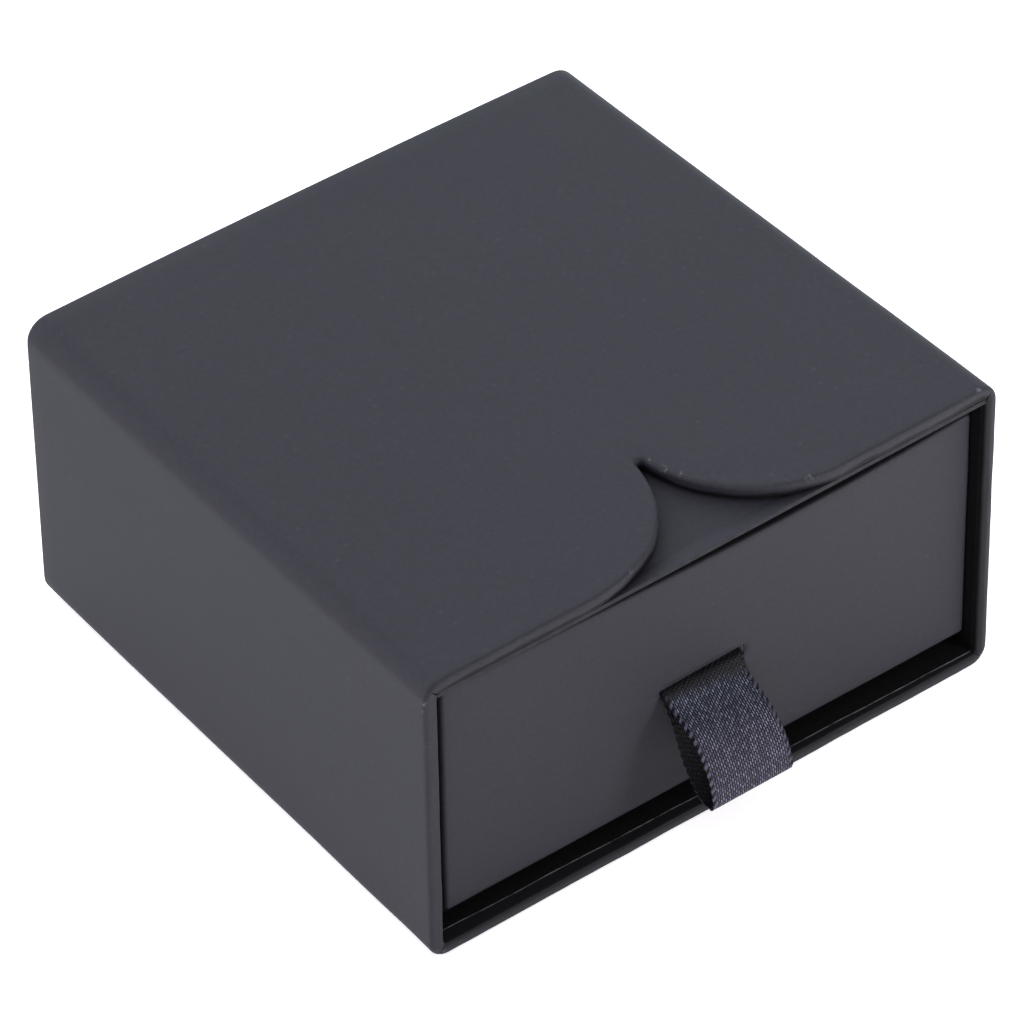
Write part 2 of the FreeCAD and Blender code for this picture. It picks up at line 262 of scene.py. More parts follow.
def settle_sleeve(x, y, z, share):
    """The back is lower, bulges and has rounder folds, the top is twisted and the notch a little off."""
    x, z = rounder_folds(x, z, share)
    shift = near_notch(x, y - FRONT, SHIFTED) * (z > HEIGHT - SHIFTED_DEPTH)
    x, y = x + NOTCH_SHIFT_X * shift, y + NOTCH_SHIFT_Y * shift
    bulge = BACK_BULGE * share ** 3 * (1 - (x / HALF_WIDTH) ** 2) * ramp_up(z, 0, HEIGHT * BULGE_RISE_SHARE)
    y = y + SKEW_SHARE * x * share + bulge
    tilt = TILT_FRONT_SHARE * x * (1 - share) - (TILT_BACK_SHARE * x + BACK_DROP) * share
    z = z + tilt * z / HEIGHT
    return x + LEAN_SHARE * share * (z - HEIGHT / 2), y, z


def settle_drawer(x, y, z):
    """The drawer lies a little to the right, its left edge a little more so."""
    return x + np.interp(x, DRAWER_SHIFT_X, DRAWER_SHIFTS), y, z


def settle(obj, body):
    x, y, z = read_points(obj.data).T
    share = np.clip((y - FRONT) / DEPTH, 0, 1)
    x, y, z = settle_sleeve(x, y, z, share) if body == "sleeve" else settle_drawer(x, y, z)
    write_points(obj.data, np.stack([x * (1 - NARROWING_SHARE * share), y, z], 1))


# Materials

class Shader:
    """A principled material with a few procedural nodes round it."""

    def __init__(self, name, color, roughness, specular):
        self.material = bpy.data.materials.new(name)
        self.material.use_nodes = True
        self.nodes = self.material.node_tree.nodes
        self.links = self.material.node_tree.links
        self.surface = self.nodes["Principled BSDF"]
        self.set("Base Color", (*color, 1))
        self.set("Roughness", roughness)
        self.set("Specular IOR Level", specular)
        self.places = self.nodes.new("ShaderNodeTexCoord")
        self.normal = None

    def set(self, name, value):
        self.surface.inputs[name].default_value = value

    def drive(self, name, socket):
        self.links.new(socket, self.surface.inputs[name])

    def node(self, kind, **settings):
        node = self.nodes.new(kind)
        for key, value in settings.items():
            setattr(node, key, value)
        return node

    def noise(self, scale, detail, roughness, source="Object", stretch=(1, 1, 1)):
        mapping = self.node("ShaderNodeMapping")
        mapping.inputs["Scale"].default_value = stretch
        self.links.new(self.places.outputs[source], mapping.inputs["Vector"])
        noise = self.node("ShaderNodeTexNoise")
        noise.inputs["Scale"].default_value = scale
        noise.inputs["Detail"].default_value = detail
        noise.inputs["Roughness"].default_value = roughness
        self.links.new(mapping.outputs["Vector"], noise.inputs["Vector"])
        return noise.outputs["Fac"]

    def attribute(self, name):
        return self.node("ShaderNodeAttribute", attribute_name=name).outputs["Fac"]

    def ramp(self, value, stops):
        ramp = self.node("ShaderNodeValToRGB")
        elements = ramp.color_ramp.elements
        while len(elements) < len(stops):
            elements.new(0.5)
        for element, (position, color) in zip(elements, stops):
            element.position = position
            element.color = (*color, 1)
        self.links.new(value, ramp.inputs["Fac"])
        return ramp.outputs["Color"]

    def math(self, operation, *values):
        node = self.node("ShaderNodeMath", operation=operation)
        for socket, value in zip(node.inputs, values):
            self.feed(socket, value)
        return node.outputs["Value"]

    def plus(self, first, second):
        return self.math("ADD", first, second)

    def minus(self, first, second):
        return self.math("SUBTRACT", first, second)

    def times(self, first, second):
        return self.math("MULTIPLY", first, second)

    def mix(self, share, first, second, blend="MIX"):
        node = self.node("ShaderNodeMix", data_type="RGBA", blend_type=blend)
        for index, value in ((0, share), (6, first), (7, second)):
            self.feed(node.inputs[index], value)
        return node.outputs[2]

    def feed(self, socket, value):
        if isinstance(value, (int, float)):
            socket.default_value = value
        elif isinstance(value, tuple):
            socket.default_value = (*value, 1)
        else:
            self.links.new(value, socket)

    def bump(self, height, distance, strength):
        bump = self.node("ShaderNodeBump")
        bump.inputs["Strength"].default_value = strength
        bump.inputs["Distance"].default_value = distance
        self.links.new(height, bump.inputs["Height"])
        if self.normal is not None:
            self.links.new(self.normal, bump.inputs["Normal"])
        self.normal = bump.outputs["Normal"]
        self.drive("Normal", self.normal)


def gray(value):
    return (value, value, value)


CHARCOAL = (0.022, 0.0218, 0.0275)


def make_wrap_paper():
    """Soft-touch paper: faint clouds and grain, a few specks of dust, pale where worn and where highlights
    are painted on its edges, and darkened by painted shade in the mouth.
    """
    paper = Shader("charcoal soft-touch paper", CHARCOAL, 0.62, specular=0.12)
    cloud = paper.noise(38, 3, 0.6)
    grain = paper.noise(1500, 2, 0.6)
    base = paper.ramp(cloud, [(0.32, (0.0213, 0.0211, 0.0266)), (0.68, (0.0228, 0.0226, 0.0285))])
    fine = paper.ramp(grain, [(0.35, gray(0.93)), (0.65, gray(1.06))])
    base = paper.mix(1.0, base, fine, "MULTIPLY")
    dust = paper.ramp(paper.noise(1500, 1, 0.3), [(0.765, gray(0.0)), (0.80, gray(1.0))])
    base = paper.mix(paper.times(dust, 0.22), base, (0.06, 0.062, 0.07))
    fleck = paper.ramp(paper.noise(1700, 3, 0.75), [(0.50, gray(0.0)), (0.66, gray(1.0))])
    # Pale where worn: partly real wear and scuffs, partly a painted highlight along the mouth's noses and the
    # folds at the back
    worn_and_highlit = paper.times(paper.attribute("wear"), fleck)
    # Painted shade: the shade attribute darkens the paper inside the mouth and on the drawer's rim
    base = paper.mix(paper.times(paper.attribute("shade"), 0.9), base, (0.0022, 0.0022, 0.003))
    paper.drive("Base Color", paper.mix(worn_and_highlit, base, (0.14, 0.145, 0.155)))
    paper.drive("Roughness", paper.plus(paper.times(cloud, 0.10), 0.54))
    paper.bump(paper.noise(2600, 3, 0.6), 0.00003, 0.3)
    paper.bump(paper.noise(130, 2, 0.5), 0.0001, 0.1)
    return paper.material


def make_black_lining():
    lining = Shader("black lining paper", (0.0025, 0.0025, 0.003), 0.75, specular=0.08)
    grain = lining.noise(1800, 3, 0.6)
    tone = lining.ramp(grain, [(0.3, (0.0018, 0.0018, 0.0021)), (0.7, (0.0038, 0.0038, 0.0044))])
    lining.drive("Base Color", tone)
    lining.bump(lining.noise(1200, 4, 0.65), 0.00005, 0.4)
    return lining.material


def make_greyboard():
    board = Shader("greyboard", (0.2, 0.19, 0.175), 0.9, specular=0.2)
    fibre = board.noise(900, 4, 0.7, stretch=(1, 3, 1))
    tone = board.ramp(fibre, [(0.3, (0.10, 0.095, 0.088)), (0.5, (0.15, 0.142, 0.13)),
                              (0.72, (0.22, 0.21, 0.19))])
    board.drive("Base Color", tone)
    board.bump(fibre, 0.00008, 0.5)
    return board.material


def make_card_face():
    card = Shader("charcoal card", CHARCOAL, 0.62, specular=0.12)
    grain = card.noise(1500, 2, 0.6)
    tone = card.ramp(grain, [(0.35, (0.0205, 0.0203, 0.0256)), (0.65, (0.0235, 0.0233, 0.0295))])
    card.drive("Base Color", tone)
    card.bump(card.noise(2600, 3, 0.6), 0.00003, 0.35)
    return card.material


def make_cut_edge(name, dark, light, scale):
    """The fibres of a cut edge, mottled between a dark and a light tone."""
    edge = Shader(name, light, 0.8, specular=0.25)
    fibre = edge.noise(scale, 3, 0.7)
    edge.drive("Base Color", edge.ramp(fibre, [(0.35, dark), (0.65, light)]))
    edge.bump(fibre, 0.00004, 0.5)
    return edge.material


LANES_PER_MM, LANE_SKEW, LANE_DRIFT = 2.9, 0.11, 0.5
FLOATS_PER_MM, FLOAT_STEP = 1.5, 0.37


def make_ribbon_satin():
    """Satin: fine warp lanes along the length, broken into short floats, with painted glints, a painted
    reflection above and painted shadow deep in the loop; UVs are in millimetres.
    """
    satin = Shader("satin ribbon", (0.02, 0.018, 0.034), 0.45, specular=0.16)
    satin.set("Sheen Weight", 0.015)
    satin.set("Sheen Roughness", 0.35)
    satin.set("Sheen Tint", (0.55, 0.6, 0.8, 1))
    split = satin.node("ShaderNodeSeparateXYZ")
    satin.links.new(satin.places.outputs["UV"], split.inputs[0])
    across, along = split.outputs[0], split.outputs[1]

    # Lanes across the ribbon: a rounded ridge in each
    drift = satin.noise(0.5, 2, 0.5, source="UV")
    skewed = satin.plus(satin.times(across, LANES_PER_MM), satin.times(along, LANE_SKEW))
    skewed = satin.plus(skewed, satin.times(drift, LANE_DRIFT))
    lane = satin.math("FLOOR", skewed)
    from_middle = satin.minus(satin.times(satin.math("FRACT", skewed), 2.0), 1.0)
    ridge = satin.minus(1.0, satin.math("POWER", satin.math("ABSOLUTE", from_middle), 1.5))

    # Floats along each lane, every lane a step behind its neighbour
    travel = satin.plus(satin.times(along, FLOATS_PER_MM), satin.times(lane, FLOAT_STEP))
    from_centre = satin.minus(satin.times(satin.math("FRACT", travel), 2.0), 1.0)
    floats = satin.minus(1.0, satin.math("POWER", satin.math("ABSOLUTE", from_centre), 5.0))
    thread = satin.times(ridge, floats)

    # Each float gets a painted glint by chance, and loose fibres lie over them
    pair = satin.node("ShaderNodeCombineXYZ")
    satin.links.new(lane, pair.inputs[0])
    satin.links.new(satin.math("FLOOR", travel), pair.inputs[1])
    chance = satin.node("ShaderNodeTexWhiteNoise", noise_dimensions="2D")
    satin.links.new(pair.outputs[0], chance.inputs["Vector"])
    fibre = satin.noise(5.5, 3, 0.7, source="UV", stretch=(1.6, 0.45, 1))
    glint = satin.times(thread, satin.plus(satin.times(chance.outputs["Value"], 0.32), 0.66))
    mixed = satin.plus(satin.times(glint, 0.72), satin.times(fibre, 0.5))
    # Its brightest stops are the floats' painted glints
    tone = satin.ramp(mixed, [(0.30, (0.0018, 0.0017, 0.0045)), (0.52, (0.0085, 0.0080, 0.0165)),
                              (0.74, (0.062, 0.061, 0.090)), (1.0, (0.24, 0.24, 0.31))])
    # The upper part is tinted bluish as a painted reflection of the surround; the lower part keeps the
    # ribbon's purple
    dye_and_reflection_hue = satin.ramp(satin.times(along, 0.02), [(0.22, (0.98, 1.12, 1.10)), (0.40, (0.96, 0.88, 0.94))])
    tone = satin.mix(1.0, tone, dye_and_reflection_hue, "MULTIPLY")

    # The selvedge is beaded, and what lies deep in the loop gets painted shadow
    bead = satin.math("SINE", satin.plus(satin.times(along, 5.7), satin.times(across, 4.5)))
    beads = satin.ramp(satin.plus(satin.times(bead, 0.4), satin.times(fibre, 0.9)),
                       [(0.42, (0.0010, 0.0010, 0.0026)), (0.60, (0.060, 0.057, 0.090))])
    tone = satin.mix(satin.attribute("edge"), tone, beads)
    satin.drive("Base Color", satin.mix(satin.attribute("deep"), tone, (0.0012, 0.0012, 0.002)))
    satin.drive("Roughness", satin.plus(satin.times(fibre, 0.3), 0.3))
    satin.bump(thread, 0.00010, 0.9)
    satin.bump(fibre, 0.00006, 0.6)
    return satin.material


WRAP = make_wrap_paper()
LINING = make_black_lining()
BOARD = make_greyboard()
CARD = make_card_face()
# The card's cut edge is darker than its face and draws a dark line along the card's front edge
CARD_EDGE = make_cut_edge("cut edge of the card", (0.0085, 0.0085, 0.0112), (0.0155, 0.0155, 0.020), 700)
LINING_EDGE = make_cut_edge("cut edge of the lining", (0.004, 0.004, 0.005), (0.07, 0.07, 0.075), 420)
SATIN = make_ribbon_satin()


# Pieces that keep the frame's shape

SHARP_ANGLE = math.radians(24.0)


def smooth_copy(node, material):
    """A welded, smooth-shaded copy that stands for a frame node, whose name starts with its body's."""
    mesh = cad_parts[node].data.copy()
    bm = bmesh.new()
    bm.from_mesh(mesh)
    bmesh.ops.remove_doubles(bm, verts=bm.verts, dist=1e-6)
    bmesh.ops.recalc_face_normals(bm, faces=bm.faces)
    for face in bm.faces:
        face.smooth = True
    for edge in bm.edges:
        edge.smooth = len(edge.link_faces) == 2 and edge.calc_face_angle(0.0) < SHARP_ANGLE
    bm.to_mesh(mesh)
    bm.free()
    mesh.materials.clear()
    mesh.materials.append(material)
    obj = show("shown_" + node, mesh, node.split("_")[0])
    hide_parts(node)
    return obj


KEPT_SHAPES = [
    (BOARD, ["sleeve_top_board", "sleeve_bottom_board", "sleeve_left_board", "sleeve_right_board",
             "sleeve_back_board", "sleeve_floor_flap", "drawer_front_board", "drawer_back_board",
             "drawer_left_board", "drawer_right_board", "drawer_floor_board"]),
    (LINING, ["sleeve_back_lining", "drawer_wall_lining", "drawer_floor_lining"]),
    (WRAP, ["sleeve_back_cover", "drawer_base_cover"])]
copies = {node: smooth_copy(node, material) for material, nodes in KEPT_SHAPES for node in nodes}


def let_back_bulge():
    """Split the back's flat pieces, so that they can follow its bulge."""
    columns_x, rows_z = np.arange(-40.0, 40.1, 4.0), (14.0, 29.0)
    for node in ("sleeve_back_cover", "sleeve_back_board", "sleeve_back_lining"):
        split_mesh(copies[node].data, columns_x, (1, 0, 0))
        split_mesh(copies[node].data, rows_z, (0, 0, 1))


def build_card():
    """The thin card under the top: it sags a little behind its front edge, below the lobes."""
    low, high = node_box("sleeve_top_ply")
    # The first rows lie closer together, where the card bends
    fine_depth = 3.5
    y_front = low[1] + fine_depth * np.linspace(0, 1, 10) ** 1.5
    y_rest = np.linspace(low[1] + fine_depth, high[1], 30)[1:]
    x, y = np.meshgrid(np.linspace(low[0], high[0], 120), np.concatenate([y_front, y_rest]))
    rows, cols = x.shape
    wave = waviness(x.ravel(), CARD_WAVES, 71).reshape(x.shape)
    level = wave - CARD_LOWERED - CARD_SAG * near_notch(x, y - low[1], SAGGING)
    top = np.stack([x, y, high[2] + level], -1).reshape(-1, 3)
    bottom = np.stack([x, y, low[2] + level], -1).reshape(-1, 3)
    count = len(top)
    faces = [*grid_faces(rows, cols), *grid_faces(rows, cols, count, flip=True)]
    slots = [0] * len(faces)
    rim = list(range(cols)) + [row * cols + cols - 1 for row in range(1, rows)]
    rim += [(rows - 1) * cols + col for col in range(cols - 2, -1, -1)]
    rim += [row * cols for row in range(rows - 2, 0, -1)]
    for start, end in zip(rim, rim[1:] + rim[:1]):
        faces.append((start + count, end + count, end, start))
        slots.append(1 if start < cols and end < cols else 0)
    obj = add_mesh("card", np.vstack([top, bottom]), faces, [CARD, CARD_EDGE], "sleeve", smooth=False,
                   slots=slots)
    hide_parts("sleeve_top_ply")


def build_floor_lining():
    """The sleeve's lining, whose front edge on the floor is cut slightly wavy and shows its pale fibres."""
    mesh = smooth_copy("sleeve_lining", LINING).data
    split_mesh(mesh, np.arange(-41.5, 41.6, 0.8), (1, 0, 0))
    mesh.materials.append(LINING_EDGE)
    # Its front edge on the floor is what lies before edge_back and below edge_top
    edge_back, edge_top = FRONT + 3.0, 2.35
    for face in mesh.polygons:
        if face.normal.y < -0.8 and face.center.y < edge_back * MM and face.center.z < edge_top * MM:
            face.material_index = 1
    points = read_points(mesh)
    at_edge = (points[:, 1] < edge_back) & (points[:, 2] < edge_top)
    points[:, 1] += waviness(points[:, 0], LINING_WAVES, 5) * at_edge
    write_points(mesh, points)


# The sleeve's paper

def fold_arc(centre_x, centre_z, start, end, count):
    """Part of a long fold at the mouth, between two angles in degrees: its points and outward directions."""
    angle = np.radians(np.linspace(start, end, count))
    out = np.stack([np.cos(angle), np.zeros(count), np.sin(angle)], 1)
    return np.array([centre_x, FRONT, centre_z]) + FOLD * out, out


def straight(start, end, count):
    share = np.linspace(0, 1, count)[:, None]
    return np.array(start) * (1 - share) + np.array(end) * share


class Run:
    """The mouth's edge as columns: each has its edge point, outward and forward directions, the x where it
    ends at the back, and how far it is turned in. The paper is slit at the columns in slits."""

    def __init__(self):
        self.edge, self.out, self.forward, self.rear_x, self.turn = [], [], [], [], []
        self.slits = []

    def add(self, edge, out, turn, forward=(0, -1, 0), rear_x=None):
        count = len(edge)
        out = np.broadcast_to(np.asarray(out, float), (count, 3))
        forward = np.broadcast_to(np.asarray(forward, float), (count, 3))
        rear_x = edge[:, 0] if rear_x is None else rear_x
        # A stretch that starts where the last one ended shares that column
        skip = 1 if self.edge and np.allclose(self.edge[-1], edge[0], atol=1e-4) else 0
        self.edge += list(edge[skip:])
        self.out += list(out[skip:])
        self.forward += list(forward[skip:])
        self.rear_x += list(rear_x[skip:])
        self.turn += [turn] * (count - skip)

    def slit_here(self):
        self.slits.append(len(self.edge) - 1)

    def arrays(self):
        return [np.array(column) for column in (self.edge, self.out, self.forward, self.rear_x, self.turn)]


def add_scallops(run):
    """The left lobe, the blunt cusp and the right lobe. Behind them the paper's columns spread evenly."""
    up = (0, 0, 1)
    lobe_left, lobe_right = NOTCH_X - LOBE_X, NOTCH_X + LOBE_X
    cusp_y = LOBE_Y - math.sqrt((LOBE_RADIUS + CUSP_RADIUS) ** 2 - LOBE_X ** 2)
    join = math.atan2(cusp_y - LOBE_Y, LOBE_X)

    angle = np.linspace(-math.pi / 2, join, 76)
    ray = np.stack([np.cos(angle), np.sin(angle), np.zeros(len(angle))], 1)
    share = (angle - angle[0]) / (angle[-1] - angle[0])
    edge = np.array([lobe_left, LOBE_Y, HEIGHT]) + LOBE_RADIUS * ray
    edge[:, 1] = np.maximum(edge[:, 1], FRONT)
    run.add(edge, up, TURN_TOP, ray, lobe_left + (NOTCH_X - CUSP_STRIP - lobe_left) * share)

    angle = np.linspace(math.pi + join, -join, 17)
    end = np.stack([np.cos(angle), np.sin(angle), np.zeros(len(angle))], 1)
    rear_x = NOTCH_X - CUSP_STRIP * np.cos(np.linspace(0, math.pi, len(angle)))
    run.add(np.array([NOTCH_X, cusp_y, HEIGHT]) + CUSP_RADIUS * end, up, TURN_TOP, -end, rear_x)

    mirror = np.array([-1.0, 1.0, 1.0])
    edge = (edge - [NOTCH_X, 0, 0])[::-1] * mirror + [NOTCH_X, 0, 0]
    rear_x = lobe_right - (lobe_right - NOTCH_X - CUSP_STRIP) * share[::-1]
    run.add(edge, up, TURN_TOP, ray[::-1] * mirror, rear_x)


def wrap_run():
    """From the left bottom fold up over the top to the right bottom fold, slit in the top corners."""
    left, right, low, high = FOLD - HALF_WIDTH, HALF_WIDTH - FOLD, FOLD, HEIGHT - FOLD
    run = Run()
    run.add(*fold_arc(left, low, 232, 180, 11), TURN_SIDE)
    run.add(straight((-HALF_WIDTH, FRONT, low), (-HALF_WIDTH, FRONT, high), 46), (-1, 0, 0), TURN_SIDE)
    run.add(*fold_arc(left, high, 180, 135, 8), TURN_SIDE)
    run.slit_here()
    run.add(*fold_arc(left, high, 135, 90, 8), TURN_SIDE)
    run.add(straight((left, FRONT, HEIGHT), (NOTCH_X - LOBE_X, FRONT, HEIGHT), 28), (0, 0, 1), TURN_TOP)
    add_scallops(run)
    run.add(straight((NOTCH_X + LOBE_X, FRONT, HEIGHT), (right, FRONT, HEIGHT), 28), (0, 0, 1), TURN_TOP)
    run.add(*fold_arc(right, high, 90, 45, 8), TURN_SIDE)
    run.slit_here()
    run.add(*fold_arc(right, high, 45, 0, 8), TURN_SIDE)
    run.add(straight((HALF_WIDTH, FRONT, high), (HALF_WIDTH, FRONT, low), 46), (1, 0, 0), TURN_SIDE)
    run.add(*fold_arc(right, low, 0, -43, 9), TURN_SIDE)
    return run


def base_run():
    """The rest of the mouth, from the right bottom fold along the bottom to the left one."""
    left, right = FOLD - HALF_WIDTH, HALF_WIDTH - FOLD
    run = Run()
    run.add(*fold_arc(right, FOLD, -45, -90, 9), TURN_BASE)
    run.add(straight((right, FRONT, 0), (left, FRONT, 0), 96), (0, 0, -1), TURN_BASE)
    run.add(*fold_arc(left, FOLD, 270, 237, 7), TURN_BASE)
    return run


# Wear and painted highlight of the paper: on the inner nose, on the wall's front, on the outer nose, where
# that meets the outer face, and on the folds at the back
INNER_WEAR_AND_HIGHLIGHT, FRONT_WEAR_AND_HIGHLIGHT, NOSE_WEAR_AND_HIGHLIGHT, FACE_WEAR_AND_HIGHLIGHT, BACK_WEAR_AND_HIGHLIGHT = 0.0125, 0.03, 0.075, 0.025, 0.15
NOSE_WEAR_AND_HIGHLIGHT_END = math.radians(68.0)


def nose_profile(turn):
    """The paper's way round the mouth's edge, from its turned end to the outer face. Each row has its depth
    behind the mouth, its inset from the outer face, its wear and painted highlight, and how wide slits and
    ends open there."""
    quarter = np.radians((15, 30, 45, 60, 75, 90))
    rows = [(INNER_NOSE + (turn - INNER_NOSE) * share, WALL, 0.0, 1.0) for share in (1.0, 0.6, 0.3, 0.1, 0.0)]
    for angle in quarter:
        depth = INNER_NOSE * (1 - math.sin(angle))
        rows.append((depth, WALL - INNER_NOSE * (1 - math.cos(angle)), INNER_WEAR_AND_HIGHLIGHT, 1.0))
    flat = WALL - NOSE - INNER_NOSE
    for share, opening in ((0.8, 0.95), (0.6, 0.85), (0.4, 0.7), (0.2, 0.5), (0.0, 0.3)):
        rows.append((0.0, NOSE + flat * share, FRONT_WEAR_AND_HIGHLIGHT, opening))
    for angle in quarter:
        wear = NOSE_WEAR_AND_HIGHLIGHT if angle < NOSE_WEAR_AND_HIGHLIGHT_END else FACE_WEAR_AND_HIGHLIGHT
        rows.append((NOSE * (1 - math.cos(angle)), NOSE * (1 - math.sin(angle)), wear, 0.0))
    return rows


# The inset inside the mouth where the paper's painted shade starts: on the left, the right, the top and
# elsewhere. On the left, which faces the softbox, that is past the wall, so there is none.
SHADE_START_LEFT, SHADE_START_RIGHT, SHADE_START_TOP, SHADE_START = 5.0, 0.75, 0.95, 1.2
SHADE_GROWTH, SHADE_WAVES = 0.35, 3.0
# On the base a first step starts earlier, and both steps are paler
BASE_STEP_START, BASE_STEP_GROWTH, BASE_STEP_SHADE, BASE_SHADE = 0.85, 0.3, 0.4, 0.5
# The share of an outward direction from which on it counts as that of a side
FACING = 0.7


def mouth_shade(out, inset, uneven):
    """How dark the painted shade makes the paper inside the mouth."""
    across, up = out[:, 0], out[:, 2]
    start = np.select([across < -FACING, across > FACING, up > FACING],
                      [SHADE_START_LEFT, SHADE_START_RIGHT, SHADE_START_TOP], SHADE_START)
    dark = ramp_up(inset, start + uneven * SHADE_WAVES, SHADE_GROWTH)
    base_dark = dark * BASE_SHADE + BASE_STEP_SHADE * ramp_up(inset, BASE_STEP_START, BASE_STEP_GROWTH)
    return np.where(up < -FACING, base_dark, dark)


def skin_rows(run, seed):
    """Rows of points from the turned end at the mouth to that at the back, with what each is like."""
    edge, out, forward, rear_x, turn = run.arrays()
    count = len(edge)
    travel = np.concatenate([[0], np.cumsum(np.linalg.norm(np.diff(edge, axis=0), axis=1))])
    uneven = waviness(travel, MOUTH_WAVES, seed)
    rows, wear, opening, shade = [], [], [], []

    def add_row(points, worn_and_highlit, opens, dark=0.0):
        rows.append(points)
        wear.append(np.full(count, worn_and_highlit))
        opening.append(opens)
        shade.append(np.broadcast_to(dark, (count,)))

    for depth, inset, worn_and_highlit, opens in nose_profile(turn):
        behind = (np.broadcast_to(depth, (count,)) - uneven)[:, None]
        add_row(edge - forward * behind - out * inset, worn_and_highlit, opens, mouth_shade(out, inset, uneven))

    start = rows[-1].copy()
    rear = np.stack([rear_x, np.full(count, WRAP_BACK - NOSE), edge[:, 2]], 1)
    for share in (0.006, 0.015, 0.03, 0.05, 0.08, 0.12, 0.17, 0.23, 0.3, 0.38, 0.46, 0.54, 0.62, 0.7, 0.78,
                  0.86, 0.93, 0.97, 1.0):
        place = start * (1 - share) + rear * share
        wave = waviness(place, SLEEVE_WAVES, seed + 2)
        # The waves fade towards the nose and towards the fold at the back
        fade = min(1.0, share / 0.06) * min(1.0, (1.001 - share) / 0.08)
        add_row(place + out * (wave * fade)[:, None], 0.0, 0.0)

    backward = np.array([0.0, 1.0, 0.0])
    for angle in np.radians((22, 45, 67, 90)):
        place = rear + backward * NOSE * math.sin(angle) - out * NOSE * (1 - math.cos(angle))
        add_row(place, BACK_WEAR_AND_HIGHLIGHT, 0.0)
    for inset in (1.4, 2.2):
        add_row(rear + backward * NOSE - out * inset, 0.0, 0.0)

    wear_and_highlight_by_place = np.clip(0.4 + waviness(travel, WEAR_AND_HIGHLIGHT_WAVES, seed + 4), 0, 1)
    return np.array(rows), np.array(wear) * wear_and_highlight_by_place, np.array(opening), np.array(shade)


def skin_mesh(run, seed, end_reach):
    """The paper of a run. Inside the mouth its slits are open and its ends reach further by end_reach."""
    grid, wear, opening, shade = skin_rows(run, seed)
    tangent = unit(np.gradient(np.array(run.edge), axis=0))
    last = len(tangent) - 1
    grid[:, 0] -= tangent[0] * (opening * end_reach)[:, None]
    grid[:, -1] += tangent[-1] * (opening * end_reach)[:, None]
    ends = [0] + run.slits + [last]
    verts, faces, worn_and_highlit, dark = [], [], [], []
    for index, (start, end) in enumerate(zip(ends, ends[1:])):
        part = grid[:, start:end + 1].copy()
        ragged = 0.5 + 0.5 * np.random.default_rng(seed + index).random(len(part))
        slit = (opening * SLIT_WIDTH * ragged)[:, None]
        if start > 0:
            part[:, 0] += tangent[start] * slit
        if end < last:
            part[:, -1] -= tangent[end] * slit
        faces += list(grid_faces(len(part), end - start + 1, len(verts)))
        verts += list(part.reshape(-1, 3))
        worn_and_highlit += list(wear[:, start:end + 1].ravel())
        dark += list(shade[:, start:end + 1].ravel())
    return np.array(verts), faces, np.array(worn_and_highlit), np.array(dark)


# Small bruises of the paper: place and size
SCUFFS = [((-44.4, FRONT + 0.3, 43.6), 0.5), ((-44.45, FRONT + 0.5, 42.6), 0.35),
          ((41.9, FRONT + 0.4, HEIGHT), 0.35), ((14.9, FRONT + 0.9, HEIGHT - 0.1), 0.6),
          ((11.0, FRONT + 0.6, HEIGHT - 1.2), 0.4), ((-43.9, FRONT + 0.2, 0.9), 0.8),
          ((-42.9, FRONT + 0.1, 0.6), 0.6), ((43.6, FRONT + 0.2, 1.0), 0.6),
          ((-12.4, FRONT + 1.4, HEIGHT - 0.1), 0.4), ((NOTCH_X + 0.9, -26.4, HEIGHT - 0.2), 0.5),
          ((NOTCH_X + 1.5, -28.6, HEIGHT - 0.1), 0.6), ((NOTCH_X + 2.6, -31.0, HEIGHT - 0.2), 0.45)]


def build_sleeve_paper():
    """The wrap and the base paper, whose ends stop a little short in the mouth, so that a seam shows."""
    for name, node, run, seed, end_reach in (
            ("sleeve_paper", "sleeve_wrap", wrap_run(), 11, 0.05),
            ("sleeve_base_paper", "sleeve_base_wrap", base_run(), 31, -0.05)):
        verts, faces, worn_and_highlit, dark = skin_mesh(run, seed, end_reach)
        for place, size in SCUFFS:
            distance = np.linalg.norm(verts - np.array(place), axis=1)
            worn_and_highlit = np.maximum(worn_and_highlit, np.clip(1.2 - distance / size, 0, 1))
        finish_paper(add_mesh(name, verts, faces, [WRAP], "sleeve", wear=worn_and_highlit, shade=dark), node)


def finish_paper(obj, node):
    weld(obj)
    thicken(obj, PAPER)
    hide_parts(node)


# The drawer's paper

# How far it is turned in under the tray and over the rim
TURN_UNDER, TURN_INSIDE = 8.0, 9.5
# Depth of what counts as the tray's front, and the painted shade and the wear of its rim
FRONT_ZONE, RIM_SHADE, RIM_WEAR = 3.0, 0.75, 0.04


